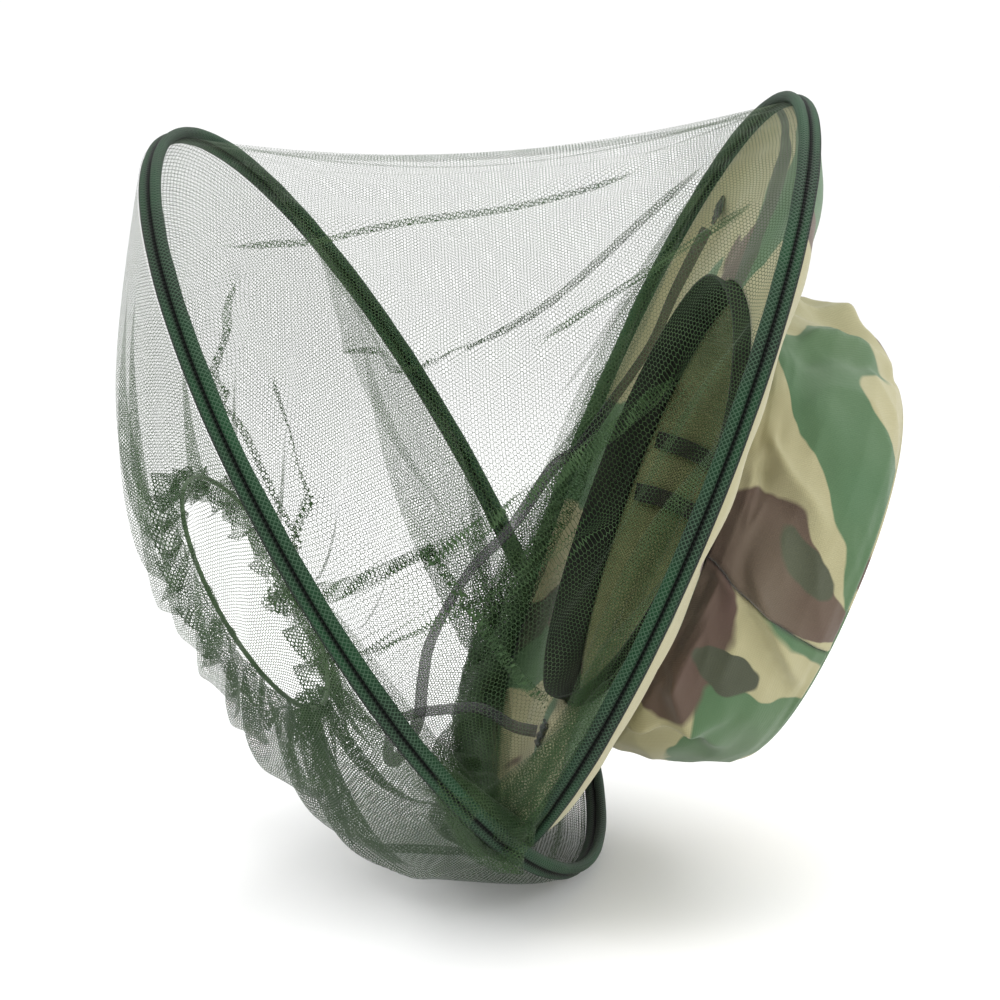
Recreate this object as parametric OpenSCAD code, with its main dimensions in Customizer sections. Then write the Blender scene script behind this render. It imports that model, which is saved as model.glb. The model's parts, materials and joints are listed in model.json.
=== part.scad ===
// Pop-up hat with a built-in head net: two spring hoops, a soft hat on the upper one,
// a net wall between them and a gathered net skirt below the lower one.
// Millimetres. The hat frame has its Z along the crown and X down to the floor;
// the veil frame has its Z out of the lower hoop, towards the neck, and X down to the floor.

/* [Hoops] */
// Centre-line radius of the brim hoop
brim_hoop_r = 187; // [150:1:230]
// Centre-line radius of the lower hoop
lower_hoop_r = 194; // [155:1:240]
// Outside radius of the cloth casing on each hoop
casing_r = 3.4; // [2.5:0.1:6]
// Inside radius of the casing
casing_bore_r = 1.25; // [0.8:0.05:3]
// Radius of the spring wire
wire_r = 1.2; // [0.6:0.1:2]

/* [Brim] */
// Thickness of each brim cloth layer
cloth_t = 0.8; // [0.4:0.1:2]
// Height of the brim's crest above the hoop plane
brim_rise = 12; // [4:1:40]
// Height of the brim where it meets the crown
brim_inner_z = 7; // [2:1:40]

/* [Crown] */
// Radius of the crown at its foot
crown_foot_r = 97; // [80:1:120]
// Largest radius of the crown
crown_belly_r = 102; // [85:1:130]
// Height of the crown's top panel above the hoop plane
crown_top_z = 94; // [60:1:140]
// Angle of the side seam round the crown, near side
crown_seam_deg = -81; // [-180:1:180]
// Width of the gap between the crown panels at each seam
seam_gap_deg = 0.6; // [0.2:0.1:3]

/* [Head opening] */
// Radius of the head opening inside the sweatband
head_r = 92; // [80:0.5:105]
// Thickness of the sweatband
sweatband_t = 1.2; // [0.6:0.1:3]
// Lower edge of the sweatband
sweatband_z0 = -4; // [-20:1:10]
// Upper edge of the sweatband
sweatband_z1 = 15; // [8:1:40]
// Thickness of the lining cloth
lining_t = 0.5; // [0.3:0.1:2]
// Angle round the crown of the first lining tape
tape_a_deg = 99; // [-180:1:180]
// Angle round the crown of the second lining tape
tape_b_deg = 81; // [-180:1:180]
// Width of each lining tape
tape_w = 9; // [4:0.5:20]

/* [Strap] */
// Width of the ribbon
ribbon_w = 6; // [3:0.5:15]
// Thickness of the ribbon
ribbon_t = 0.7; // [0.4:0.1:2]

/* [Nets] */
// Thickness that stands for one layer of net
net_t = 0.4; // [0.3:0.1:1.5]
// Radius of the neck opening
neck_r = 64; // [45:1:90]
// Depth of the neck opening beyond the lower hoop
neck_z = 78; // [50:1:140]
// How far the gathered neck hangs below the hoop's centre
neck_drop = 9; // [0:1:40]
// Radius of the neck elastic
elastic_r = 1.1; // [0.6:0.1:3]
// Number of ruffles in the neck hem
ruffles = 18; // [8:1:40]

/* [Pose on the table] */
// Centre of the brim hoop
hat_pos = [56.4, -6.2, 186];
// Tilt of the crown axis from straight up
hat_tilt = 112.3; // [60:0.1:150]
// Turn of the crown axis about the vertical
hat_turn = 4.4; // [-180:0.1:180]
// Centre of the lower hoop
veil_pos = [-62, 0.5, 174.1];
// Tilt of the lower hoop's outward axis from straight up
veil_tilt = 119.8; // [60:0.1:150]
// Turn of the lower hoop's outward axis about the vertical
veil_turn = 171; // [-180:0.1:180]

/* [Hidden] */
$fn = 96;

camo = [0.42, 0.47, 0.31];
camo_dark = [0.24, 0.38, 0.24];
net_green = [0.16, 0.27, 0.17];
casing_green = [0.11, 0.22, 0.14];
steel = [0.55, 0.56, 0.58];
black = [0.05, 0.05, 0.05];
olive = [0.33, 0.35, 0.16];
grey = [0.24, 0.23, 0.25];

// ---- frames ----
function turn_z(v, c) = [v[0]*cos(c) - v[1]*sin(c), v[0]*sin(c) + v[1]*cos(c), v[2]];
function turn_y(v, b) = [v[0]*cos(b) + v[2]*sin(b), v[1], -v[0]*sin(b) + v[2]*cos(b)];
function hat_dir(v) = turn_z(turn_y(v, hat_tilt), hat_turn);
function veil_dir(v) = turn_z(turn_y(v, veil_tilt), veil_turn);
function hat_pt(v) = hat_pos + hat_dir(v);
function veil_pt(v) = veil_pos + veil_dir(v);
function hat_local(v) = turn_y(turn_z(v - hat_pos, -hat_turn), -hat_tilt);
function veil_local(v) = turn_y(turn_z(v - veil_pos, -veil_turn), -veil_tilt);
function unit(v) = v / norm(v);

// ---- the fold line: where the two hoop planes meet ----
nh = hat_dir([0, 0, 1]);
nv = veil_dir([0, 0, 1]);
fold_dir = unit(cross(nv, nh));
mid = (hat_pos + veil_pos) / 2;
fold_pt = ((nh*hat_pos) * cross(nv, fold_dir) + (nv*veil_pos) * cross(fold_dir, nh)
           + (fold_dir*mid) * cross(nh, nv)) / (nh * cross(nv, fold_dir));
fold_h = hat_local(fold_pt);
fold_v = veil_local(fold_pt);
start_h = atan2(fold_h[1], fold_h[0]);
start_v = atan2(fold_v[1], fold_v[0]);

module hat_frame() {
    translate(hat_pos) rotate([0, hat_tilt, hat_turn]) children();
}

module veil_frame() {
    translate(veil_pos) rotate([0, veil_tilt, veil_turn]) children();
}

// ---- shells of revolution from a run of [radius, height] points ----
function up_by(run, h) = [for (p = run) [p[0], p[1] + h]];
function back(run) = [for (i = [len(run)-1 : -1 : 0]) run[i]];

module shell(run, t, angle = 360) {
    rotate_extrude(angle = angle) polygon(concat(run, back(up_by(run, t))));
}

// ---- closed band: sections[i] is a ring of m points, the last joins the first ----
module band(sections, flip = false) {
    n = len(sections);
    m = len(sections[0]);
    points = [for (s = sections) for (p = s) p];
    faces = [for (i = [0 : n-1]) for (j = [0 : m-1])
             let (a = i*m + j, b = i*m + (j+1)%m,
                  c = ((i+1)%n)*m + (j+1)%m, d = ((i+1)%n)*m + j)
             for (f = [[a, b, c], [a, c, d]]) flip ? [f[2], f[1], f[0]] : f];
    polyhedron(points = points, faces = faces, convexity = 10);
}

// ---- open ribbon: sections of four points with a cap at each end ----
module ribbon(sections, flip = false) {
    n = len(sections);
    points = [for (s = sections) for (p = s) p];
    sides = [for (i = [0 : n-2]) for (j = [0 : 3])
             let (a = i*4 + j, b = i*4 + (j+1)%4,
                  c = (i+1)*4 + (j+1)%4, d = (i+1)*4 + j)
             for (f = [[a, b, c], [a, c, d]]) f];
    e = (n-1)*4;
    caps = [[0, 2, 1], [0, 3, 2], [e, e+1, e+2], [e, e+2, e+3]];
    faces = [for (f = concat(sides, caps)) flip ? [f[2], f[1], f[0]] : f];
    polyhedron(points = points, faces = faces, convexity = 10);
}

// ---- brim hoop ----
module hoop(r, r_out) {
    rotate_extrude() translate([r, 0]) circle(r = r_out, $fn = 32);
}

module casing(r) {
    rotate_extrude() translate([r, 0]) difference() {
        circle(r = casing_r, $fn = 32);
        circle(r = casing_bore_r, $fn = 32);
    }
}

module brim_wire() {
    color(steel) hat_frame() hoop(brim_hoop_r, wire_r);
}

module brim_binding() {
    color(casing_green) hat_frame() casing(brim_hoop_r);
}

// ---- brim: two cloth layers from the hoop casing in to the sweatband ----
brim_edge_r = brim_hoop_r - casing_r - 0.3;
brim_in_r = head_r + sweatband_t + 0.4;
brim_run = [[brim_edge_r, 0.4], [brim_edge_r - 6, brim_rise*0.66],
            [brim_edge_r - 18, brim_rise], [brim_edge_r - 44, brim_rise],
            [(brim_edge_r + brim_in_r)/2 - 14, brim_rise - 2], [brim_in_r, brim_inner_z]];

module brim_upper() {
    color(camo) hat_frame() shell(brim_run, cloth_t);
}

module brim_underside() {
    color(camo_dark) hat_frame() shell(up_by(brim_run, -cloth_t - 0.3), cloth_t);
}

// ---- crown ----
crown_run = [[crown_foot_r, brim_inner_z + 2], [crown_foot_r + 3, crown_top_z*0.3],
             [crown_belly_r, crown_top_z*0.55], [crown_belly_r - 2, crown_top_z*0.78],
             [crown_belly_r - 8, crown_top_z*0.92], [crown_belly_r - 13, crown_top_z - 3.4]];
side_run = concat(crown_run, [for (p = back(crown_run)) [p[0] - cloth_t, p[1] - 0.2]]);

module crown_side(from, span) {
    rotate([0, 0, from]) rotate_extrude(angle = span) polygon(side_run);
}

module crown_front() {
    color(camo) hat_frame() crown_side(crown_seam_deg + seam_gap_deg, 180 - seam_gap_deg);
}

module crown_back() {
    color(camo_dark) hat_frame() crown_side(crown_seam_deg + 180 + seam_gap_deg, 180 - seam_gap_deg);
}

module crown_top() {
    top_r = crown_belly_r - 13.2;
    run = [[0, crown_top_z + 2], [top_r*0.6, crown_top_z + 1.5],
           [top_r*0.88, crown_top_z], [top_r, crown_top_z - 1.6]];
    color(camo) hat_frame() rotate_extrude() polygon(concat(run, back(up_by(run, -cloth_t))));
}

// ---- inside of the hat ----
module sweatband() {
    color(black) hat_frame() translate([0, 0, sweatband_z0]) difference() {
        cylinder(r = head_r + sweatband_t, h = sweatband_z1 - sweatband_z0);
        translate([0, 0, -1]) cylinder(r = head_r, h = sweatband_z1 - sweatband_z0 + 2);
    }
}

lining_z0 = sweatband_z1 + 0.4;
lining_z1 = crown_top_z - 6;
lining_foot_r = crown_foot_r - 2.6;
lining_top_r = crown_belly_r - 16;

module lining_side() {
    color(olive) hat_frame() rotate_extrude()
        polygon([[lining_foot_r, lining_z0], [lining_foot_r + lining_t, lining_z0],
                 [lining_top_r + lining_t, lining_z1], [lining_top_r, lining_z1]]);
}

module lining_top() {
    color(olive) hat_frame() translate([0, 0, lining_z1 + 0.3]) cylinder(r = lining_top_r, h = lining_t);
}

module tape(deg) {
    rise = lining_z1 - lining_z0 - 6;
    lean = atan2(lining_foot_r - lining_top_r, lining_z1 - lining_z0);
    rotate([0, 0, deg]) translate([lining_foot_r - 1.1, 0, lining_z0 + 3])
        rotate([0, -lean, 0]) translate([-0.6, -tape_w/2, 0]) cube([0.6, tape_w, rise]);
}

module lining_tape_a() {
    color(black) hat_frame() tape(tape_a_deg);
}

module lining_tape_b() {
    color(black) hat_frame() tape(tape_b_deg);
}

// ---- chin strap: a ribbon from the far side of the brim, hanging in a loop ----
strap_run = [[-122, 107, 3], [-87, 112, 1], [-57, 112, 0], [-22, 115, -7], [6, 112, -14],
             [20, 108, -23], [55, 95, -33], [83, 75, -47], [117, 62, -53], [136, 48, -51],
             [154, 35, -47], [170, 20, -51], [169, 6, -57], [155, 3, -61], [145, 3, -55],
             [136, 5, -38], [131, 6, -25], [133, 4, -8], [131, 2, 3]];

function strap_side(i) = let (n = len(strap_run) - 1,
    t = unit(strap_run[min(i+1, n)] - strap_run[max(i-1, 0)]),
    u = unit(cross(t, [0.35, -0.55, 0.75]))) [unit(cross(u, t)), u];

module chin_strap() {
    color(grey) hat_frame() ribbon([for (i = [0 : len(strap_run)-1])
        let (s = strap_side(i), w = s[0]*ribbon_w/2, h = s[1]*ribbon_t/2, p = strap_run[i])
        [p - w - h, p + w - h, p + w + h, p - w + h]]);
}

module tab(p, deg) {
    hat_frame() translate(p) rotate([0, 0, deg]) translate([-6, -5, 0]) cube([12, 10, 1.6]);
}

module strap_tab_upper() {
    color(grey) tab([-133, 109, 4.2], 141);
}

module strap_tab_lower() {
    color(grey) tab([131, 2, 4.6], 0);
}

// ---- lower hoop ----
module lower_wire() {
    color(steel) veil_frame() hoop(lower_hoop_r, wire_r);
}

module lower_binding() {
    color(casing_green) veil_frame() casing(lower_hoop_r);
}

// ---- skirt: [drop, radius, depth] rings from the lower hoop to the gathered neck ----
skirt_rings = [[0, lower_hoop_r + 2.6, 3.2], [6, lower_hoop_r - 12, 22],
               [17, lower_hoop_r - 37, 45], [28, lower_hoop_r - 61, 66],
               [31, lower_hoop_r - 83, neck_z + 6], [22, neck_r + 24, neck_z + 10],
               [neck_drop, neck_r, neck_z]];

function ring_normal(i) = let (n = len(skirt_rings) - 1,
    d = skirt_rings[min(i+1, n)] - skirt_rings[max(i-1, 0)]) unit([-d[2], d[1]]);

function skirt_point(i, a, off) = let (r = skirt_rings[i], k = ring_normal(i),
    rr = r[1] + off*k[0]) [r[0] + rr*cos(a), rr*sin(a), r[2] + off*k[1]];

module skirt_net() {
    m = len(skirt_rings);
    color(net_green) veil_frame() band([for (a = [0 : 6 : 354])
        concat([for (i = [0 : m-1]) skirt_point(i, a, 0)],
               [for (i = [m-1 : -1 : 0]) skirt_point(i, a, net_t)])]);
}

module neck_elastic() {
    color(black) veil_frame() translate([neck_drop, 0, neck_z - 0.4]) hoop(neck_r - elastic_r - 0.6, elastic_r);
}

// ---- neck hem: a ruffled frill beyond the elastic ----
function hem_point(k, a, off) = let (r = neck_r + off + k*(2 + 3*sin(a*ruffles)) - 1,
    z = neck_z + 2 + k*13) [neck_drop + r*cos(a), r*sin(a), z];

module neck_hem() {
    color(net_green) veil_frame() band([for (i = [0 : ruffles*6 - 1]) let (a = i*360/(ruffles*6))
        [hem_point(0, a, 0), hem_point(1, a, 0), hem_point(1, a, net_t), hem_point(0, a, net_t)]], true);
}

// ---- net wall between the hoops: it shortens to a few centimetres beside the fold ----
wall_step = 3.75;
fine_step = 1.25;
wall_gap = casing_r + 0.6;

// the hoops pass closest at these two angles, where the net turns over in a short length
cross_deg = 46;
cross_zone = 24;
function near_cross(a) = abs(a - cross_deg) < cross_zone || abs(360 - a - cross_deg) < cross_zone;
wall_angles = [for (i = [0 : 360/fine_step - 1]) let (a = i*fine_step)
               if (near_cross(a) || a % wall_step == 0) a];

function on_brim(a) = hat_pt([brim_hoop_r*cos(start_h + a), brim_hoop_r*sin(start_h + a), 0]);
function on_lower(a) = veil_pt([lower_hoop_r*cos(start_v - a), lower_hoop_r*sin(start_v - a), 0]);
function brim_tan(a) = hat_dir([-sin(start_h + a), cos(start_h + a), 0]);
function lower_tan(a) = veil_dir([-sin(start_v - a), cos(start_v - a), 0]);
function sine_of(u, t) = norm(cross(u, t));

function wall_section(a) = let (p = on_brim(a), q = on_lower(a), u = unit(q - p),
    tp = brim_tan(a), tq = lower_tan(a),
    e = p + u*wall_gap/sine_of(u, tp), f = q - u*wall_gap/sine_of(u, tq),
    n = unit(cross(tp - tq, u)) * net_t/2) [e - n, f - n, f + n, e + n];

module veil_net() {
    color(net_green) band([for (a = wall_angles) wall_section(a)]);
}

brim_wire();
brim_binding();
brim_upper();
brim_underside();
sweatband();
crown_front();
crown_back();
crown_top();
lining_side();
lining_top();
lining_tape_a();
lining_tape_b();
strap_tab_upper();
strap_tab_lower();
chin_strap();
lower_wire();
lower_binding();
skirt_net();
neck_hem();
neck_elastic();
veil_net();
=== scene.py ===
"""Pop-up camouflage hat with a built-in head net, lying on its side with its two hoops open in a V."""

import json
from math import acos, atan2, cos, hypot, pi, radians, sin

import bpy
import numpy as np
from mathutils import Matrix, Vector


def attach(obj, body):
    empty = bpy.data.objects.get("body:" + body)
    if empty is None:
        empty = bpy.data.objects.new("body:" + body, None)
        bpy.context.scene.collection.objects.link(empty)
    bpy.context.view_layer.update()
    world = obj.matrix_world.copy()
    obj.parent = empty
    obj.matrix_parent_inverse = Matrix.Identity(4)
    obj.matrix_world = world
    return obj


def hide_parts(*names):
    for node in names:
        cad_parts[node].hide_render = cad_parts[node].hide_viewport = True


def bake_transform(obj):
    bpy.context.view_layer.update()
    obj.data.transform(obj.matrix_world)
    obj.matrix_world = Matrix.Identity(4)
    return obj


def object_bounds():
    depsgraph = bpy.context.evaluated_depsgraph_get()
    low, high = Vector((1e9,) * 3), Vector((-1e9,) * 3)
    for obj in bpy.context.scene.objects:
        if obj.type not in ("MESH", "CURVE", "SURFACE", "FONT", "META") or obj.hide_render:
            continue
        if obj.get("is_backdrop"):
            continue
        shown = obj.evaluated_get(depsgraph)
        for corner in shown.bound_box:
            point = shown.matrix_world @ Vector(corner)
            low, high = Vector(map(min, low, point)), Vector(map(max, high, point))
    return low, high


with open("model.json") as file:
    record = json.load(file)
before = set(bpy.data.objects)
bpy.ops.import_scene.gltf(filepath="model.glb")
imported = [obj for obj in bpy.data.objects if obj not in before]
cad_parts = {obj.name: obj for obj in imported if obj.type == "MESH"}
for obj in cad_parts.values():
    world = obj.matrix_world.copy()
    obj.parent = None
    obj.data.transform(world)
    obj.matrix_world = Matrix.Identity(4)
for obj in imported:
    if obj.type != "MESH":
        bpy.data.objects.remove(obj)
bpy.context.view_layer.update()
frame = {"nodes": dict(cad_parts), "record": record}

# ---- sizes shared with the part's source, in metres ----
BRIM_R, LOWER_R = 0.187, 0.194
CASING = 0.0034
NECK_R, NECK_Z, NECK_DROP = 0.064, 0.078, 0.009
HEAD_SINK, NECK_LIFT = 0.0055, 0.002
SEAM_DEG = -81
TAPES = {"lining_tape_a": 99, "lining_tape_b": 81}
STRAP = np.array([[-122, 107, 3], [-87, 112, 1], [-57, 112, 0], [-22, 115, -7], [6, 112, -14],
                  [20, 108, -23], [55, 95, -33], [83, 75, -47], [117, 62, -53], [136, 48, -51],
                  [154, 35, -47], [170, 20, -51], [169, 6, -57], [155, 3, -61], [145, 3, -55],
                  [136, 5, -38], [131, 6, -25], [133, 4, -8], [131, 2, 3]]) / 1000
STRAP_W, STRAP_T, STRAP_STEPS = 0.006, 0.0007, 220
TABS = (("strap_end_upper", "strap_tab_upper", (-0.133, 0.109, 0.0050), 141),
        ("strap_end_lower", "strap_tab_lower", (0.131, 0.002, 0.0054), 0))
TAB_HALF, TAB_W, TAB_T = 0.006, 0.010, 0.0015
CLOTH_T, LINING_T, BAND_T = 0.0007, 0.0006, 0.0012
BRIM_IN, BRIM_OUT = 0.0945, 0.1842
LINING_TOP_R = 0.0848
TAPE_W, TAPE_T = 0.009, 0.0007
NET_R, SKIRT_R = 0.19, 0.195
MESH_CELL, WALL_THREAD, SKIRT_THREAD = 0.0017, 0.000145, 0.00021


# ---- frames of the hat and of the lower hoop, from the record's mounts ----
def axes(n):
    """Columns of a frame with n as its third axis, and its first pointing as far down as it can."""
    s = hypot(n[0], n[1])
    x = np.array([n[2] * n[0] / s, n[2] * n[1] / s, -s])
    return np.stack([x, np.cross(n, x), n], 1)


mounts = {m["name"]: m for m in frame["record"]["mounts"]}


def mount(name, sign):
    m = mounts[name]
    return np.array(m["pos_m"], float), sign * np.array(m["axis"], float)


head_at, hat_n = mount("head_opening", -1)
neck_at, veil_n = mount("neck_opening", 1)
HAT_R, VEIL_R = axes(hat_n), axes(veil_n)
HAT_C = head_at - HEAD_SINK * hat_n
VEIL_C = neck_at - (NECK_Z + NECK_LIFT) * veil_n - NECK_DROP * VEIL_R[:, 0]


def hat(p):
    return HAT_C + np.asarray(p, float) @ HAT_R.T


def veil(p):
    return VEIL_C + np.asarray(p, float) @ VEIL_R.T


def ring(r, angles):
    return np.stack([r * np.cos(angles), r * np.sin(angles), 0 * angles], -1)


# ---- camera ----
AIM = Vector((-0.0079, -0.0260, 0.1770))
BACK, RISE, TILT_DEG, LENS, SENSOR = 1.0755, 0.1512, 82, 85, 36
camera = bpy.data.objects.new("camera", bpy.data.cameras.new("camera"))
camera.data.lens, camera.data.sensor_width = LENS, SENSOR
camera.location = AIM + Vector((0, -BACK, RISE))
camera.rotation_euler = (radians(TILT_DEG), 0, 0)
bpy.context.collection.objects.link(camera)
bpy.context.scene.camera = camera


# ---- shader helpers ----
class Paint:
    """A node tree built by short calls. A value is a number, a tuple or another node's output."""

    def __init__(self, name):
        self.mat = bpy.data.materials.new(name)
        self.mat.use_nodes = True
        self.tree = self.mat.node_tree
        self.tree.nodes.clear()
        self.out = self.tree.nodes.new("ShaderNodeOutputMaterial")

    def node(self, kind, out=0, settings=(), **values):
        n = self.tree.nodes.new("ShaderNode" + kind)
        for k, v in dict(settings).items():
            setattr(n, k, v)
        for k, v in values.items():
            self.put(n.inputs[int(k[1:]) if k[0] == "i" and k[1:].isdigit() else k.replace("_", " ")], v)
        return n.outputs[out]

    def put(self, socket, v):
        if isinstance(v, bpy.types.NodeSocket):
            self.tree.links.new(v, socket)
        elif v is not None:
            socket.default_value = (*v, 1) if socket.type == "RGBA" and len(v) == 3 else v

    def math(self, op, a, b=None):
        return self.node("Math", settings={"operation": op}, i0=a, i1=b)

    def vec(self, op, a, b=None, out=0):
        return self.node("VectorMath", out, {"operation": op}, i0=a, i1=b)

    def scaled(self, v, by):
        n = self.vec("SCALE", v).node
        n.inputs["Scale"].default_value = by
        return n.outputs[0]

    def uv(self):
        return self.node("UVMap", settings={"uv_map": "cloth"})

    def noise(self, at, scale, detail=2.0, warp=0.0, move=(0, 0, 0), rough=0.5, out=0):
        if any(move):
            at = self.vec("ADD", at, move)
        return self.node("TexNoise", out, Vector=at, Scale=scale, Detail=detail, Distortion=warp, Roughness=rough)

    def step(self, v, low, high, a=0.0, b=1.0):
        return self.node("MapRange", i0=v, i1=low, i2=high, i3=a, i4=b)

    def mix(self, f, a, b):
        n = self.tree.nodes.new("ShaderNodeMix")
        n.data_type = "RGBA"
        self.put(n.inputs[0], f)
        self.put(n.inputs[6], a)
        self.put(n.inputs[7], b)
        return n.outputs[2]

    def bump(self, height, strength, distance, normal=None):
        return self.node("Bump", Strength=strength, Distance=distance, Height=height, Normal=normal)

    def cloth(self, color, rough=0.85, normal=None, sheen=0.25, alpha=None, metal=0.0, spec=0.3):
        n = self.tree.nodes.new("ShaderNodeBsdfPrincipled")
        for k, v in (("Base Color", color), ("Roughness", rough), ("Normal", normal), ("Alpha", alpha),
                     ("Metallic", metal), ("Sheen Weight", sheen), ("Specular IOR Level", spec)):
            self.put(n.inputs[k], v)
        self.tree.links.new(n.outputs[0], self.out.inputs[0])
        return self.mat

    def weave(self, pitch):
        """Height of a plain weave of that pitch: over and under by turns."""
        x = self.node("SeparateXYZ", i0=self.scaled(self.uv(), 2 * pi / pitch))
        y = x.node.outputs[1]
        return self.math("MULTIPLY", self.math("SINE", x), self.math("SINE", y))


def camo(name, shift, light=1.0, warm=0.0):
    """Woodland camouflage: broad interlocking patches with crisp edges on a fine plain weave."""
    p = Paint(name)
    uv = p.uv()
    at = p.vec("MULTIPLY", uv, (1.0, 0.62, 1.0))
    wob = p.noise(uv, 38, 2, out=1)
    at = p.vec("ADD", at, p.vec("MULTIPLY", p.vec("SUBTRACT", wob, (0.5, 0.5, 0.5)), (0.012, 0.012, 0.0)))
    green = p.noise(at, 12.5, 0.6, 0.5, shift)
    brown = p.noise(at, 11.5, 0.6, 0.6, (shift[0] + 3.7, shift[1] - 2.1, 1.3))
    deep = p.noise(at, 13, 0.6, 0.6, (shift[0] - 5.2, shift[1] + 4.4, 2.6))
    tan_c = (0.40 * light, 0.365 * light, 0.205 * light)
    green_c = (0.062 * light, 0.140 * light, 0.060 * light)
    brown_c = (0.092 * light + warm, 0.048 * light, 0.038 * light)
    deep_c = (0.040 * light, 0.045 * light, 0.026 * light)
    c = p.mix(p.step(green, 0.535, 0.545), tan_c, green_c)
    c = p.mix(p.step(brown, 0.595, 0.605), c, brown_c)
    c = p.mix(p.step(deep, 0.67, 0.68), c, deep_c)
    fade = p.noise(uv, 9, 3, move=(8, 2, 0))
    c = p.mix(p.step(fade, 0.3, 0.75, 0.0, 0.22), c, (0.30 * light, 0.33 * light, 0.20 * light))
    w = p.weave(0.0011)
    # painted shade: the camouflage colour darkens a little in the low points of the weave
    c = p.mix(p.step(w, -1, 1, 0.16, 0.0), c, (0.03, 0.04, 0.025))
    n = p.bump(w, 0.35, 0.00015)
    n = p.bump(p.noise(uv, 60, 4, rough=0.6), 0.35, 0.0012, n)
    return p.cloth(c, p.step(fade, 0.2, 0.8, 0.66, 0.86), n, 0.2)


ROOT3 = 3 ** 0.5


def net(name, cell, thread, color, light, bunched):
    """Hexagonal tulle: threads along the edges of a honeycomb, holes between them.

    Where the point attribute "bunched" is 1 the net is gathered, and its threads cover that many times more; there
    its colour is also darkened, as painted shade."""
    p = Paint(name)
    uv = p.uv()
    q = p.scaled(uv, 1 / cell)
    size, half = (1.0, ROOT3, 1.0), (0.5, ROOT3 / 2, 0.0)
    a = p.vec("SUBTRACT", p.vec("MODULO", q, size), half)
    b = p.vec("SUBTRACT", p.vec("MODULO", p.vec("ADD", q, half), size), half)
    a, b = (p.vec("MULTIPLY", v, (1, 1, 0)) for v in (a, b))
    la = p.vec("DOT_PRODUCT", a, a, 1)
    lb = p.vec("DOT_PRODUCT", b, b, 1)
    g = p.tree.nodes.new("ShaderNodeMix")
    g.data_type = "VECTOR"
    p.put(g.inputs[0], p.math("LESS_THAN", lb, la))
    p.put(g.inputs[4], a)
    p.put(g.inputs[5], b)
    g = p.vec("ABSOLUTE", g.outputs[1])
    x = p.node("SeparateXYZ", i0=g)
    slant = p.vec("DOT_PRODUCT", g, (0.5, ROOT3 / 2, 0), 1)
    edge = p.math("SUBTRACT", 0.5, p.math("MAXIMUM", x, slant))
    close = p.node("Attribute", 2, {"attribute_name": "bunched"})
    width = p.step(close, 0, 1, thread / cell / 2, thread / cell / 2 * bunched)
    alpha = p.math("LESS_THAN", edge, width)
    tone = p.noise(uv, 55, 2)
    c = p.mix(p.step(tone, 0.3, 0.7), color, light)
    # painted shade: where the net is bunched its colour darkens towards 0.42 of the thread colour, for the shade of
    # its gathered layers
    c = p.mix(p.step(close, 0.25, 1.0, 0.0, 0.8), c, tuple(0.42 * x for x in color))
    return p.cloth(c, 0.6, None, 0.05, alpha, spec=0.25)


def braid(name, dark, edge, light, pitch):
    """Net folded over cloth on the hoop casings: slanting threads on a green ground, with painted shade darkening
    the hollow between its two rolls.
    """
    p = Paint(name)
    uv = p.uv()
    s = p.node("SeparateXYZ", i0=uv)
    t = s.node.outputs[1]
    k = 2 * pi / pitch
    one = p.math("SINE", p.math("MULTIPLY", p.math("ADD", s, t), k))
    two = p.math("SINE", p.math("MULTIPLY", p.math("SUBTRACT", s, t), k))
    h = p.math("MAXIMUM", one, two)
    c = p.mix(p.step(p.noise(uv, 16, 3), 0.4, 0.65), dark, edge)
    c = p.mix(p.step(h, 0.45, 0.95, 0.0, 0.85), c, light)
    # painted shade: the colour goes almost black where the groove attribute is 1, in the hollow between the two
    # rolls
    c = p.mix(p.node("Attribute", 2, {"attribute_name": "groove"}), c, (0.0005, 0.0012, 0.0008))
    return p.cloth(c, 0.6, p.bump(h, 0.7, 0.0004), 0.0, spec=0.2)


def plain(name, a, b, pitch, sheen=0.2, depth=0.0002):
    """Woven cloth of two close tones, with painted shade in the low points of its weave."""
    p = Paint(name)
    w = p.weave(pitch)
    c = p.mix(p.step(p.noise(p.uv(), 30, 3), 0.3, 0.7), a, b)
    # painted shade: the colour darkens to 0.35 of the first tone in the low points of the weave
    c = p.mix(p.step(w, -1, 1, 0.45, 0.0), c, tuple(x * 0.35 for x in a))
    return p.cloth(c, 0.8, p.bump(w, 0.6, depth), sheen)


def ribbon(name, pitch):
    """Sheer grey ribbon, ribbed across its width, with painted shade in the troughs of its ribs."""
    p = Paint(name)
    s = p.node("SeparateXYZ", i0=p.uv())
    w = p.math("SINE", p.math("MULTIPLY", s, 2 * pi / pitch))
    # painted shade: the grey is darker in the troughs of the ribs and lighter on their crests
    c = p.mix(p.step(w, -1, 1), (0.022, 0.021, 0.024), (0.065, 0.063, 0.070))
    return p.cloth(c, 0.5, p.bump(w, 0.4, 0.0001), 0.1, 0.6)


def steel(name):
    """Bright drawn wire."""
    p = Paint(name)
    n = p.noise(p.node("TexCoord", 3), 400, 3)
    return p.cloth(p.mix(n, (0.35, 0.36, 0.38), (0.55, 0.56, 0.58)), p.step(n, 0, 1, 0.25, 0.45), metal=1.0)


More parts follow.
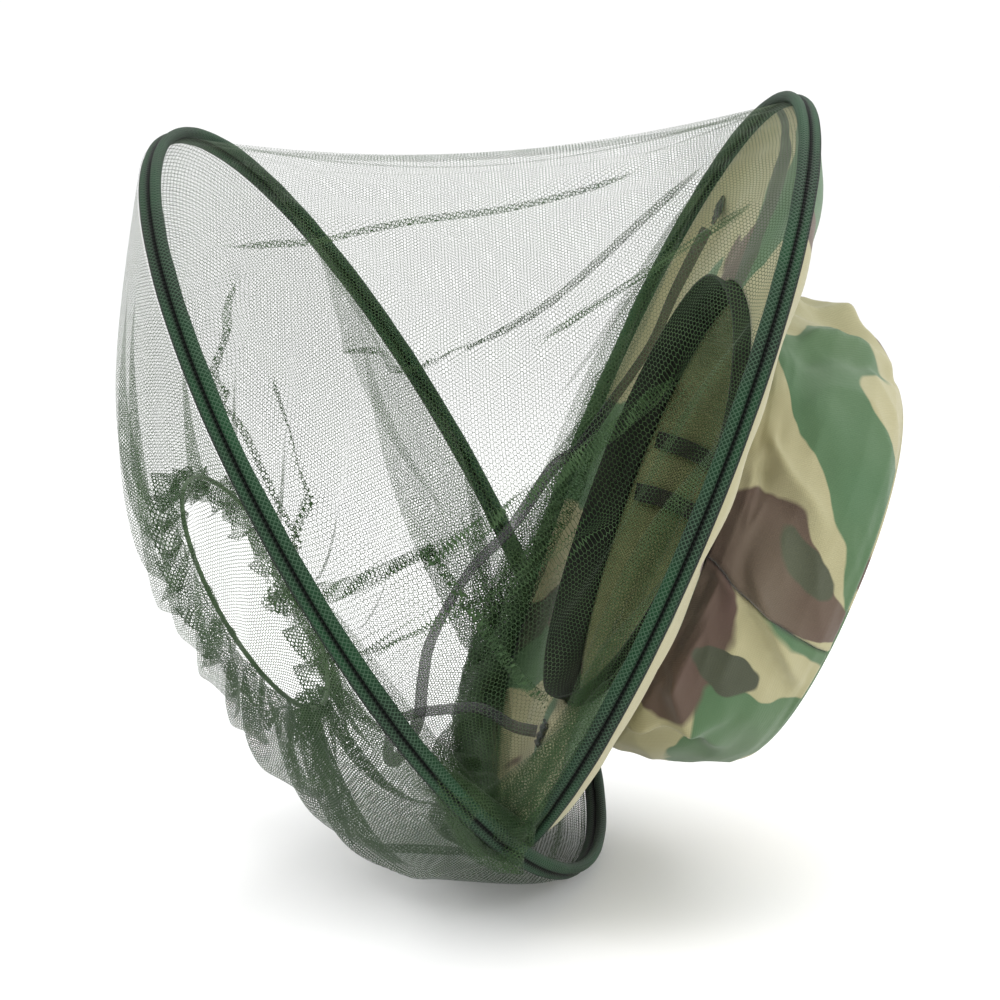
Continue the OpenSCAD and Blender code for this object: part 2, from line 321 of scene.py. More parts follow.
CAMO_OUT = camo("camo_crown", (1.3, 0.6, 0.0))
CAMO_TOP = camo("camo_top", (7.9, 3.1, 0.0))
CAMO_IN = camo("camo_brim", (4.1, 9.3, 0.0), 1.05, 0.01)
NET = net("green_net_wall", MESH_CELL, WALL_THREAD, (0.020, 0.052, 0.015), (0.050, 0.095, 0.034), 3.8)
NET_SKIRT = net("green_net_skirt", MESH_CELL, SKIRT_THREAD, (0.018, 0.050, 0.014), (0.046, 0.090, 0.032), 3.2)
BRAID = braid("hoop_braid", (0.002, 0.011, 0.004), (0.003, 0.044, 0.012), (0.045, 0.088, 0.052), 0.0022)
BAND = plain("black_band_cloth", (0.006, 0.009, 0.005), (0.016, 0.020, 0.011), 0.0011, sheen=0.0)
OLIVE = plain("olive_mesh", (0.12, 0.14, 0.05), (0.20, 0.21, 0.09), 0.0016, sheen=0.3, depth=0.0004)
TAPE = plain("dark_tape_cloth", (0.012, 0.014, 0.008), (0.03, 0.03, 0.02), 0.0009)
RIBBON = ribbon("ribbon_satin", 0.0009)
ELASTIC = plain("neck_elastic_cord", (0.04, 0.08, 0.03), (0.08, 0.13, 0.06), 0.0012)
STEEL = steel("spring_steel_wire")


# ---- mesh helpers ----
def sheet_mesh(name, P, uv, mat, closed=True, flip=False):
    """Quads over rows x columns of points. uv has one more column than P where the columns close."""
    R, C = P.shape[:2]
    cols = C if closed else C - 1
    r, c = np.meshgrid(np.arange(R - 1), np.arange(cols), indexing="ij")
    n = (c + 1) % C
    quads = np.stack([r * C + c, r * C + n, (r + 1) * C + n, (r + 1) * C + c], -1).reshape(-1, 4)
    tex = np.stack([uv[r, c], uv[r, c + 1], uv[r + 1, c + 1], uv[r + 1, c]], 2).reshape(-1, 4, 2)
    if flip:
        quads, tex = quads[:, ::-1], tex[:, ::-1]
    mesh = bpy.data.meshes.new(name)
    mesh.from_pydata(P.reshape(-1, 3).tolist(), [], quads.tolist())
    layer = mesh.uv_layers.new(name="cloth")
    layer.data.foreach_set("uv", tex.reshape(-1).astype(np.float32))
    mesh.polygons.foreach_set("use_smooth", np.ones(len(quads), bool))
    mesh.materials.append(mat)
    mesh.update()
    obj = bpy.data.objects.new(name, mesh)
    bpy.context.collection.objects.link(obj)
    return obj


def arc_uv(P, closed=True):
    """Cloth coordinates in metres: along the columns by mean spacing, along the rows by length."""
    Q = np.concatenate([P, P[:, :1]], 1) if closed else P
    u, v = np.zeros(Q.shape[:2]), np.zeros(Q.shape[:2])
    u[:, 1:] = np.cumsum(np.linalg.norm(np.diff(Q, axis=1), axis=-1).mean(0))
    v[1:] = np.cumsum(np.linalg.norm(np.diff(Q, axis=0), axis=-1).mean(1))[:, None]
    return np.stack([u, v], -1) + 1.0


def even_uv(R, C, width, height):
    """Cloth coordinates in metres of an evenly divided band of net, which closes on itself."""
    u, v = np.arange(C + 1) / C * width, np.linspace(0, height, R)
    return np.stack(np.broadcast_arrays(u[None], v[:, None]), -1) + 1.0


def disc_uv(x, y):
    """Cloth coordinates in metres of a flat round panel whose last column closes on its first."""
    x, y = (np.concatenate([q, q[:, :1]], 1) for q in (x, y))
    return np.stack([x, y], -1) + 1.5


def mark(obj, name, values):
    """Stores one number for each point of the mesh, for its material."""
    attribute = obj.data.attributes.new(name, "FLOAT", "POINT")
    attribute.data.foreach_set("value", values.reshape(-1).astype(np.float32))


def thick(obj, t):
    """Gives a sheet its cloth thickness and applies it."""
    m = obj.modifiers.new("thickness", "SOLIDIFY")
    m.thickness, m.offset = t, 0
    dg = bpy.context.evaluated_depsgraph_get()
    new = bpy.data.meshes.new_from_object(obj.evaluated_get(dg))
    obj.modifiers.clear()
    obj.data = new
    return obj


def place(obj, body, node):
    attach(obj, body)
    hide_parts(node)
    return obj


def wave(shape, cells, seed, closed=True):
    """Smooth random field from -1 to 1 over rows x columns, with that many cells each way."""
    R, C = shape
    g = np.random.default_rng(seed).uniform(-1, 1, (cells[0] + 3, cells[1] + (0 if closed else 3)))
    r, c = np.linspace(0, cells[0], R), np.arange(C) / (C if closed else C - 1) * cells[1]

    def pick(i, w, axis, g):
        out = 0
        k = [(-w**3 + 3 * w**2 - 3 * w + 1) / 6, (3 * w**3 - 6 * w**2 + 4) / 6,
             (-3 * w**3 + 3 * w**2 + 3 * w + 1) / 6, w**3 / 6]
        for j in range(4):
            at = (i + j) % g.shape[axis] if axis == 1 and closed else np.minimum(i + j, g.shape[axis] - 1)
            s = np.take(g, at, axis)
            out = out + (s * k[j][:, None] if axis == 0 else s * k[j][None])
        return out

    rows = pick(r.astype(int), r % 1, 0, g)
    return pick(c.astype(int), c % 1, 1, rows) * 1.8


def smooth(x, a, b):
    """0 below a, 1 above b, and an S-curve between."""
    t = np.clip((x - a) / (b - a), 0, 1)
    return t * t * (3 - 2 * t)


def finer(P):
    """Twice as many rows and columns of a closed band, on a smooth curve through the old ones."""
    def mid(A, n, p, q):
        return (9 * (A + n) - p - q) / 16

    m = mid(P, np.roll(P, -1, 1), np.roll(P, 1, 1), np.roll(P, -2, 1))
    Q = np.stack([P, m], 2).reshape(P.shape[0], -1, 3)
    E = np.concatenate([2 * Q[:1] - Q[1:2], Q, 2 * Q[-1:] - Q[-2:-1]], 0)
    out = np.empty((2 * Q.shape[0] - 1, Q.shape[1], 3))
    out[::2], out[1::2] = Q, mid(E[1:-2], E[2:-1], E[:-3], E[3:])
    return out


def strip(name, path, side, width, t, mat):
    """Flat band of rounded section along path; side is the direction of its width at each point."""
    n = len(path)
    tangent = np.gradient(path, axis=0)
    tangent /= np.linalg.norm(tangent, axis=1, keepdims=True)
    side = side - (side * tangent).sum(1, keepdims=True) * tangent
    side /= np.linalg.norm(side, axis=1, keepdims=True)
    up = np.cross(tangent, side)
    section = [(-0.5, -0.3), (-0.47, -0.5), (0, -0.5), (0.47, -0.5), (0.5, -0.3),
               (0.5, 0.3), (0.47, 0.5), (0, 0.5), (-0.47, 0.5), (-0.5, 0.3)]
    P = np.stack([path + side * x * width + up * y * t for x, y in section], 1)
    along = np.concatenate([[0], np.cumsum(np.linalg.norm(np.diff(path, axis=0), axis=1))])
    k = len(section)
    across = np.linspace(0, 2 * (width + t), k + 1)
    uv = np.stack(np.broadcast_arrays(across[None], along[:, None]), -1) + 1
    obj = sheet_mesh(name, P, uv, mat)
    m = obj.data
    caps = bpy.data.meshes.new("caps")
    quads = [list(p.vertices) for p in m.polygons] + [list(range(k)), list(range((n - 1) * k, n * k))[::-1]]
    old = np.zeros(len(m.loops) * 2, np.float32)
    m.uv_layers[0].data.foreach_get("uv", old)
    caps.from_pydata([v.co[:] for v in m.vertices], [], quads)
    layer = caps.uv_layers.new(name="cloth")
    layer.data.foreach_set("uv", np.concatenate([old, np.ones(4 * k, np.float32)]))
    caps.polygons.foreach_set("use_smooth", np.ones(len(quads), bool))
    caps.materials.append(mat)
    obj.data = caps
    return obj


# ---- chin ribbon: the one cord ----
def spline(points, n):
    """Catmull-Rom through the points, resampled evenly."""
    p = np.concatenate([2 * points[:1] - points[1:2], points, 2 * points[-1:] - points[-2:-1]])
    out = []
    for i in range(1, len(p) - 2):
        t = np.linspace(0, 1, 24, endpoint=False)[:, None]
        a, b, c, d = p[i - 1:i + 3]
        out.append(0.5 * (2 * b + (c - a) * t + (2 * a - 5 * b + 4 * c - d) * t**2 + (3 * b - a - 3 * c + d) * t**3))
    out = np.concatenate(out + [points[-1:]])
    s = np.concatenate([[0], np.cumsum(np.linalg.norm(np.diff(out, axis=0), axis=1))])
    even = np.linspace(0, s[-1], n)
    return np.stack([np.interp(even, s, out[:, k]) for k in range(3)], 1), s[-1]


route, strap_len = spline(STRAP, STRAP_STEPS)
broad = np.array([[0.0, 1.0, -0.14]])
across = np.cross(np.gradient(route, axis=0) @ HAT_R.T, broad)
across /= np.linalg.norm(across, axis=1, keepdims=True)
turn = 0.75 * np.sin(np.linspace(0, 9, STRAP_STEPS))[:, None]
strap = strip("chin_ribbon", hat(route), across * np.cos(turn) + broad * np.sin(turn), STRAP_W, STRAP_T, RIBBON)
place(strap, "strap", "chin_strap")
for name, node, spot, deg in TABS:
    d = np.array([cos(radians(deg)), sin(radians(deg)), 0])
    x = np.linspace(-TAB_HALF, TAB_HALF, 14)[:, None]
    line = np.array(spot) + d * x + np.array([0, 0, 1]) * 0.0006 * np.cos(9 * x / TAB_HALF)
    side = np.tile(np.cross(d, [0, 0, 1]) @ HAT_R.T, (14, 1))
    place(strip(name, hat(line), side, TAB_W, TAB_T, RIBBON), "hat", node)


# ---- hoop casings: the wire's roll and the net's roll side by side, with a groove between ----
TUBES = ((0.0, 0.0028, -158, 158), (-0.0050, 0.0025, 22, 338))
GROOVE_Z, GROOVE_W = 0.0025, 0.0011


def casing(name, put, r, body, node):
    """Two tubes of folded net round a hoop, slightly puckered by their stitches."""
    n = 360
    a = np.linspace(0, 2 * pi, n, endpoint=False)
    section = np.array([(rr * sin(t), cz + rr * cos(t))
                        for cz, rr, t0, t1 in TUBES for t in np.radians(np.linspace(t0, t1, 21))])
    m = len(section)
    # painted shade: how deep each point lies in the hollow between the two rolls, which the braid material darkens
    groove = np.exp(-((np.abs(section[:, 1]) - GROOVE_Z) / GROOVE_W) ** 2)
    pucker = 1 + 0.03 * wave((m, n), (4, 110), 5) + 0.03 * wave((m, n), (4, 40), 6)
    rad = r + section[:, :1] * pucker
    P = put(np.stack([rad * np.cos(a), rad * np.sin(a), section[:, 1:] * pucker], -1))
    P = np.concatenate([P, P[:1]])
    obj = sheet_mesh(name, P, arc_uv(P), BRAID)
    mark(obj, "groove", np.repeat(np.append(groove, groove[0]), n))
    return place(obj, body, node)


casing("brim_hoop_casing", hat, BRIM_R, "hat", "brim_binding")
casing("lower_hoop_casing", veil, LOWER_R, "veil_hoop", "lower_binding")


# ---- the soft head opening sags to an oval and leans towards the crown on the near side ----
def opening(a):
    """How far the foot of the crown moves outwards and towards the crown at each angle."""
    down, up, near = (np.clip(v, 0, 1) for v in (np.cos(a), -np.cos(a), -np.sin(a)))
    return 0.0175 * down**1.5 + 0.006 * up**1.5, 0.0165 * near**1.2 + 0.003 * down


# ---- brim: two cloth layers ----
BRIM_RUN = np.array([[0.0936, 0.007], [0.1245, 0.010], [0.1393, 0.012], [0.1653, 0.012], [0.1773, 0.0079],
                     [0.1845, 0.0006]])
ROLL_DEG, ROLL_SPREAD, ROLL_R, ROLL_LEAN, ROLL_W, ROLL_DEEP = 118, 24, 0.112, 0.0003, 0.006, 0.005


def brim(name, lift, mat, node):
    """One layer, from the hoop in to the head opening, with soft waves and a roll on its far side."""
    R, C = 46, 360
    a = np.linspace(0, 2 * pi, C, endpoint=False)[None]
    out, deep = opening(a)
    k = np.linspace(0, 1, R)[:, None]
    flat_r = BRIM_OUT + (BRIM_IN - BRIM_OUT) * k
    r = BRIM_OUT + (BRIM_IN + out - BRIM_OUT) * k
    z = np.interp(flat_r, BRIM_RUN[:, 0], BRIM_RUN[:, 1]) * (1 - 0.45 * np.clip(-np.sin(a), 0, 1)) + deep * k**1.1
    for _ in range(2):
        z[1:-1] = (z[:-2] + 2 * z[1:-1] + z[2:]) / 4
    free = smooth(-k, -1, -0.8) * smooth(k, 0, 0.14)
    z = z + free * (0.0022 * wave((R, C), (3, 26), 21) + 0.0012 * wave((R, C), (4, 60), 22))
    off = np.degrees(a) - ROLL_DEG
    z = z - np.exp(-(off / ROLL_SPREAD) ** 2) * np.exp(-((r - ROLL_R - ROLL_LEAN * off) / ROLL_W) ** 2) * ROLL_DEEP
    P = hat(np.stack([r * np.cos(a), r * np.sin(a), z + lift], -1))
    obj = sheet_mesh(name, P, arc_uv(P), mat, flip=True)
    return place(thick(obj, CLOTH_T), "hat", node)


brim("brim_cloth_upper", 0.0006, CAMO_OUT, "brim_upper")
brim("brim_cloth_underside", -0.0010, CAMO_IN, "brim_underside")


# ---- crown: two side panels and a top panel, sewn, sagging over the brim ----
RUN = np.array([[0.0950, 0.0085], [0.0990, 0.016], [0.1000, 0.0282], [0.1020, 0.0517], [0.1000, 0.0733],
                [0.0955, 0.0860], [0.0900, 0.0925]])
SAG = np.array([[0.0085, 0.0], [0.013, 0.010], [0.0200, 0.0205], [0.0282, 0.0235], [0.0517, 0.0200],
                [0.0733, 0.0175], [0.0860, 0.0165], [0.0925, 0.0160]])
# each fold: degrees at the foot, lean in degrees over the height, width in degrees, depth, and its two ends
FOLDS = ((-118, 26, 4.5, 0.0035, 0.05, 0.75), (-141, -30, 5, 0.0032, 0.25, 1.0), (-100, 44, 4, 0.0030, 0.35, 1.0),
         (-58, 30, 5, 0.0034, 0.1, 0.8), (-30, -26, 6, 0.0045, 0.05, 0.7), (8, 22, 7, 0.0050, 0.0, 0.7),
         (40, -20, 6, 0.0040, 0.0, 0.8), (75, 18, 6, 0.0030, 0.2, 0.9), (128, -22, 6, 0.0030, 0.1, 0.9),
         (165, 25, 6, 0.0032, 0.2, 1.0), (-168, -18, 5, 0.0030, 0.0, 0.8))
TOP_CREASES = ((0.3, 0.02, 0.0035), (-0.5, -0.03, 0.003), (1.4, 0.01, 0.003))


def crown_radius(s, phi):
    """Radius and height along the side run, s from 0 at the foot to 1 at the top panel, phi in radians."""
    t = np.concatenate([[0], np.cumsum(np.linalg.norm(np.diff(RUN, axis=0), axis=1))])
    t /= t[-1]
    r, z = np.interp(s, t, RUN[:, 0]), np.interp(s, t, RUN[:, 1])
    down = np.clip(np.cos(phi), 0, 1) ** 1.3
    out, deep = opening(phi)
    foot = smooth(-s, -0.45, 0)
    r = r + np.maximum(np.interp(z, SAG[:, 0], SAG[:, 1]) * down, out * foot)
    z = z + deep * foot
    r = r - 0.004 * np.clip(-np.cos(phi), 0, 1) * smooth(s, 0.5, 1)
    return r, z


def fold(s, phi):
    """Soft wrinkles: puckers at the foot and slanting folds on the sides."""
    d = np.degrees(phi)
    out = 0.0011 * np.sin(np.radians(d) * 44 + 1.5 * np.sin(np.radians(d) * 7)) * np.exp(-s / 0.13)
    for at, lean, width, deep, s0, s1 in FOLDS:
        x = ((d - at - lean * s + 180) % 360) - 180
        env = smooth(s, s0, s0 + 0.15) * smooth(-s, -s1, -s1 + 0.2)
        ridge = np.exp(-np.sqrt((x / width) ** 2 + 0.02) * 1.3)
        out = out + 2.0 * deep * env * (ridge - 0.55 * np.exp(-((x - 1.5 * width) / width) ** 2))
    return out


def crown_point(s, phi, extra):
    r, z = crown_radius(s, phi)
    r = r + fold(s, phi) * smooth(s, 0.0, 0.12) * smooth(-s, -1.0, -0.93) + extra
    return hat(np.stack([r * np.cos(phi), r * np.sin(phi), z], -1))


def seam_angle(s):
    return np.radians(SEAM_DEG + 13 * s**1.2)


def crown_side(name, turn, node):
    """Half of the crown's side, with a lap and a groove along its two seams."""
    R, C = 72, 232
    s, u = np.linspace(0, 1, R)[:, None], np.linspace(0, 1, C)[None]
    edge = np.minimum(u, 1 - u) * pi * 0.1
    phi = seam_angle(s) + turn + u * (pi - 0.004) + 0.002
    lap = 0.0009 * np.exp(-((edge - 0.0022) / 0.0016) ** 2) - 0.0016 * np.exp(-(edge / 0.0012) ** 2)
    coarse, fine = (wave((R, C), cells, seed + int(turn), False) for cells, seed in (((6, 14), 31), ((9, 22), 41)))
    grow = 0.0017 * coarse - 0.0016 * np.abs(fine)
    calm = smooth(edge, 0, 0.012) * smooth(s, 0, 0.1) * smooth(-s, -1, -0.95)
    P = crown_point(s + 0 * u, phi, lap + grow * calm)
    obj = sheet_mesh(name, P, arc_uv(P, False) + (2.0 if turn else 0.0), CAMO_OUT, False)
    return place(thick(obj, CLOTH_T), "hat", node)


crown_side("crown_side_front", 0, "crown_front")
crown_side("crown_side_back", pi, "crown_back")

R, C = 48, 360
f, phi = np.linspace(0.004, 1, R)[:, None], np.linspace(0, 2 * pi, C, endpoint=False)[None]
rim, rim_z = crown_radius(np.ones_like(phi), phi)
r = f * (rim + 0.0002)
z = rim_z + 0.0035 * (1 - f**3) + 0.0016 * np.exp(-((f - 0.965) / 0.02) ** 2) - 0.0022 * smooth(f, 0.985, 1)
coarse = 0.0035 * wave((R, C), (5, 9), 51) * smooth(f, 0.05, 0.4)
fine = 0.001 * wave((R, C), (12, 30), 52) * smooth(f, 0.15, 0.5)
z = z + smooth(-f, -0.97, -0.75) * (coarse + fine)
x, y = r * np.cos(phi), r * np.sin(phi)
for slope, off, deep in TOP_CREASES:
    z = z + deep * np.exp(-((x * slope + y - off) / hypot(1, slope) / 0.006) ** 2) * smooth(-f, -0.95, -0.7)
obj = sheet_mesh("crown_top_panel", hat(np.stack([x, y, z], -1)), disc_uv(x, y), CAMO_TOP)
place(thick(obj, CLOTH_T), "hat", "crown_top")


# ---- inside: sweatband, lining, tapes ----
def follow(r, z, a):
    """Moves a line inside the crown with the head opening, less and less with height."""
    out, deep = opening(a)
    fade = 1 - np.clip((z - 0.015) / 0.06, 0, 1)
    return r + out * fade, z + deep * fade


def inner(name, rows, run, mat, node, amp, seed, t=LINING_T):
    C, cells = 300, 30
    a = np.linspace(0, 2 * pi, C, endpoint=False)[None]
    k = np.linspace(0, 1, rows)[:, None]
    q = np.linspace(0, 1, len(run))
    r, z = np.interp(k, q, [p[0] for p in run]), np.interp(k, q, [p[1] for p in run])
    calm = smooth(k, 0, 0.12) * smooth(-k, -1, -0.88)
    r = r + amp * calm * (wave((rows, C), (3, cells), seed) + 0.4 * wave((rows, C), (6, 3 * cells), seed + 1))
    r, z = follow(r, z, a)
    P = hat(np.stack([r * np.cos(a), r * np.sin(a), z], -1))
    obj = sheet_mesh(name, P, arc_uv(P), mat, flip=True)
    return place(thick(obj, t), "hat", node)


BAND_RUN = [(0.0930, -0.0040), (0.0922, 0.004), (0.0928, 0.0150)]
LINING_RUN = [(0.0942, 0.0156), (0.0915, 0.040), (0.0880, 0.066), (0.0850, 0.0880)]
inner("sweatband_cloth", 14, BAND_RUN, BAND, "sweatband", 0.0004, 61, BAND_T)
inner("lining_cloth_side", 40, LINING_RUN, OLIVE, "lining_side", 0.0017, 62)
R, C = 30, 220
f, a = np.linspace(0.01, 1, R)[:, None], np.linspace(0, 2 * pi, C, endpoint=False)[None]
z = 0.0885 - 0.002 * (1 - f**2) + 0.0012 * wave((R, C), (5, 18), 63) * smooth(-f, -1, -0.9) * smooth(f, 0.02, 0.3)
x, y = LINING_TOP_R * f * np.cos(a), LINING_TOP_R * f * np.sin(a)
obj = sheet_mesh("lining_cloth_top", hat(np.stack([x, y, z], -1)), disc_uv(x, y), OLIVE, flip=True)
place(thick(obj, LINING_T), "hat", "lining_top")
for node, deg in TAPES.items():
    k = np.linspace(0, 1, 30)
    phi = radians(deg) + 0.02 * np.sin(6 * k)
    r, z = follow(np.interp(k, [0, 1], [0.0918, 0.0838]) - 0.0018, np.interp(k, [0, 1], [0.0175, 0.0850]), phi)
    path = np.stack([r * np.cos(phi), r * np.sin(phi), z], -1)
    side = np.tile(np.array([-sin(radians(deg)), cos(radians(deg)), 0.0]) @ HAT_R.T, (30, 1))
    place(strip(node + "_cloth", hat(path), side, TAPE_W, TAPE_T, TAPE), "hat", node)


# ---- cloth solver: a closed band of net, held along some rows ----
TIME_STEP, DAMPING, JITTER, TOP_SPEED = 0.006, 0.02, 0.0006, 2.5


def relax(X, fixed, hu, hv, steps, pins, push, force, grav, iters, comp, bend, seed):
    """Net threads of rest lengths hu along the rows and hv across them, under gravity, with its fixed points moved
    by pins, every point kept out of other things by push, and comp and bend for how stiff it is pressed and bent."""
    gen = np.random.default_rng(seed)
    R, C = X.shape[:2]
    W = np.where(fixed, 0.0, 1.0)[..., None]
    X = X + gen.normal(0, JITTER, X.shape) * W
    hu = hu * np.ones((R, 1))
    diagonal = np.hypot(hu, hv)
    V, pull = np.zeros_like(X), np.array([0, 0, -grav])
    cols, rows = np.arange(C), np.arange(R)

    def solve(A, B, wA, wB, rest, kc, ks):
        d = B - A
        l = np.sqrt((d * d).sum(-1)) + 1e-9
        e = l - rest
        k = (np.where(e < 0, e * kc, e * ks) / l)[..., None] * d / (wA + wB + 1e-9)
        return A + k * wA, B - k * wB

    def vertical(P, jump, kc, ks):
        for o in range(2) if jump == 1 else range(2 * jump):
            i = rows[:-jump][rows[:-jump] % (2 * jump) == o]
            if len(i):
                P[i], P[i + jump] = solve(P[i], P[i + jump], W[i], W[i + jump], hv * jump, kc, ks)

    def across(P, jump, kc, ks):
        for o in range(2) if jump == 1 else range(2 * jump):
            i = cols[cols % (2 * jump) == o]
            j = (i + jump) % C
            P[:, i], P[:, j] = solve(P[:, i], P[:, j], W[:, i], W[:, j], hu * jump, kc, ks)

    def slanting(P, kc, ks):
        for sign in (1, -1):
            for o in (0, 1):
                r = np.arange(o, R - 1, 2)
                far, free = np.roll(P, -sign, 1)[r + 1], np.roll(W, -sign, 1)[r + 1]
                P[r], B = solve(P[r], far, W[r], free, diagonal[r], kc, ks)
                P[r + 1] = np.roll(B, sign, 1)

    for n in range(steps):
        f = n / max(steps - 1, 1)
        V = (V + (pull + force(X, f)) * TIME_STEP) * (1 - DAMPING)
        P = np.where(fixed[..., None], pins(f), X + V * TIME_STEP * W)
        for it in range(iters):
            vertical(P, 1, comp, 1.0)
            across(P, 1, comp, 1.0)
            if it % 2 == 0:
                slanting(P, comp * 0.3, 0.35)
            if it % 3 == 0:
                vertical(P, 2, bend, 0)
                across(P, 2, bend, 0)
        P = np.where(fixed[..., None], pins(f), push(P, f))
        V = (P - X) / TIME_STEP
        V *= np.minimum(1, TOP_SPEED / (np.sqrt((V * V).sum(-1, keepdims=True)) + 1e-9))
        X = P
    return X


def fold_angles():
    """Angles round each hoop of the line where their planes meet."""
    line = np.cross(veil_n, hat_n)
    line /= np.linalg.norm(line)
    mid = (HAT_C + VEIL_C) / 2
    p = ((hat_n @ HAT_C) * np.cross(veil_n, line) + (veil_n @ VEIL_C) * np.cross(line, hat_n)
         + (line @ mid) * np.cross(hat_n, veil_n)) / (hat_n @ np.cross(veil_n, line))
    h, v = (p - HAT_C) @ HAT_R, (p - VEIL_C) @ VEIL_R
    return atan2(h[1], h[0]), atan2(v[1], v[0])


START_H, START_V = fold_angles()
NET_SPAN, NET_TALL, WALL_STEPS = 0.2922, 0.2845, 400
twist = START_H + START_V
first_x = HAT_R[:, 0] * cos(twist) + HAT_R[:, 1] * sin(twist)
FIRST = np.stack([first_x, np.cross(-hat_n, first_x), -hat_n], 1)
change = VEIL_R @ FIRST.T
swing = acos((np.trace(change) - 1) / 2)
pivot = np.array([change[2, 1] - change[1, 2], change[0, 2] - change[2, 0], change[1, 0] - change[0, 1]])
pivot /= np.linalg.norm(pivot)


def turned(angle):
    k = np.array([[0, -pivot[2], pivot[1]], [pivot[2], 0, -pivot[0]], [-pivot[1], pivot[0], 0]])
    return np.eye(3) + sin(angle) * k + (1 - cos(angle)) * k @ k


def hoop_at(f):
    """The lower hoop's frame as it comes from standing open, parallel to the brim, to its place in the V."""
    s = smooth(f, 0, 0.55)
    start = HAT_C - hat_n * NET_SPAN
    return start + (VEIL_C - start) * s, turned(swing * s) @ FIRST


# heights over the lower hoop's plane, by radius, that the wall's net stays under and the skirt's net stays over
FREE = 9
WALL_LID = [0, 0.1, 0.157, 0.182, 0.19], [0.06, 0.06, 0.04, 0.015, 0.002]
SKIRT_FLOOR = [0.06, 0.11, 0.135, 0.16, 0.185, 0.197], [0.062, 0.058, 0.046, 0.030, 0.011, 0.0]


def net_wall():
    """The net between the hoops: stretched straight between them, then let hang as they come to their V."""
    R, C = 44, 232
    a = np.arange(C) / C * 2 * pi
    on_brim = hat(ring(BRIM_R, START_H + a))
    rise = np.linspace(0, 1, R)[:, None, None]
    held = np.zeros((R, C), bool)
    held[0] = held[-1] = True
    mid = (HAT_C + VEIL_C) / 2

    def edges(f):
        c, M = hoop_at(f)
        low = c + ring(LOWER_R, START_V - a) @ M.T
        u = low - on_brim
        u /= np.linalg.norm(u, axis=1, keepdims=True)
        return on_brim + u * CASING, low - u * CASING

    def pins(f):
        p = np.zeros((R, C, 3))
        p[0], p[-1] = edges(f)
        return p

    def push(P, f):
        P[..., 2] = np.maximum(P[..., 2], 0.003)
        h = (P - HAT_C) @ HAT_R
        r = np.hypot(h[..., 0], h[..., 1])
        h[..., 2] = np.minimum(h[..., 2], np.where(r < 0.192, -0.004, FREE))
        P = hat(h)
        c, M = hoop_at(f)
        v = (P - c) @ M
        r = np.hypot(v[..., 0], v[..., 1])
        v[..., 2] = np.minimum(v[..., 2], np.where(r > WALL_LID[0][-1], FREE, np.interp(r, *WALL_LID)))
        P = c + v @ M.T
        e, q = edges(f)
        base, core = e * (1 - rise) + q * rise, HAT_C * (1 - rise) + c * rise
        n = base - core
        n /= np.linalg.norm(n, axis=-1, keepdims=True)
        return P - n * np.maximum(((P - base) * n).sum(-1, keepdims=True) - 0.001, 0)

    def force(X, f):
        d = mid - X
        return d / np.linalg.norm(d, axis=-1, keepdims=True) * 4 * max(0, 1 - f / 0.7)

    e, q = edges(0)
    X = e * (1 - rise) + q * rise
    return relax(X, held, 2 * pi * NET_R / C, NET_TALL / (R - 1), WALL_STEPS, pins, push, force, 1.0,
                 iters=9, comp=0.35, bend=0.06, seed=3)


def taut(P, most):
    """Draws the top of the wall towards the straight lines between the hoops, where nothing slackens it."""
    R, C = P.shape[:2]
    k = most * smooth(-np.cos(np.arange(C) / C * 2 * pi), 0.35, 0.95)[None, :, None]
    t = np.linspace(0, 1, R)[:, None, None]
    return P * (1 - k) + (P[:1] * (1 - t) + P[-1:] * t) * k


TUCK_ROUND, TUCK_SHARE = 1.19, 0.42


def tuck(P, lines):
    """Long creases where the net laps over itself. Each line runs from (share of height, degrees) to another,
    with a width. Returns the points, the shift of their cloth coordinates, and how dense the net is at each."""
    R, C = P.shape[:2]
    t, a = np.linspace(0, 1, R)[:, None], (np.arange(C) * 360 / C)[None]
    along = (np.roll(P, -1, 1) - np.roll(P, 1, 1)) / 2
    along /= np.linalg.norm(along, axis=-1, keepdims=True) + 1e-9
    rise = np.gradient(P, axis=0)
    rise /= np.linalg.norm(rise, axis=-1, keepdims=True) + 1e-9
    n = np.cross(along, rise)
    n /= np.linalg.norm(n, axis=-1, keepdims=True) + 1e-9
    move, shift, dense = np.zeros_like(P), np.zeros((R, C, 2)), np.zeros((R, C))
    for (t0, a0), (t1, a1), w in lines:
        x0, x1 = a0 / 360 * TUCK_ROUND, a1 / 360 * TUCK_ROUND
        y0, y1 = t0 * NET_TALL, t1 * NET_TALL
        ux, uy = x1 - x0, y1 - y0
        size = hypot(ux, uy)
        ux, uy = ux / size, uy / size
        x, y = a / 360 * TUCK_ROUND - x0, t * NET_TALL - y0
        d, far = x * uy - y * ux, (x * ux + y * uy) / size
        env = smooth(far, 0.0, 0.14) * smooth(-far, -1.0, -0.86)
        s = d / (TUCK_SHARE * w)
        bell = np.exp(-s * s / 2)
        slide = -1.9 * s * bell * TUCK_SHARE * w * env
        lift = (0.0022 * s + 0.0024) * bell * env
        move += slide[..., None] * (along * uy - rise * ux) + lift[..., None] * n
        dense = np.maximum(dense, np.exp(-(s / 1.1) ** 4) * env)
        spread = 0.45 * slide * smooth(np.abs(s), 0.6, 1.4)
        shift += np.stack([spread * uy, -spread * ux], -1)
    k = smooth(np.minimum(t, 1 - t), 0, 0.06)[..., None]
    return P + move * k, shift * k, dense


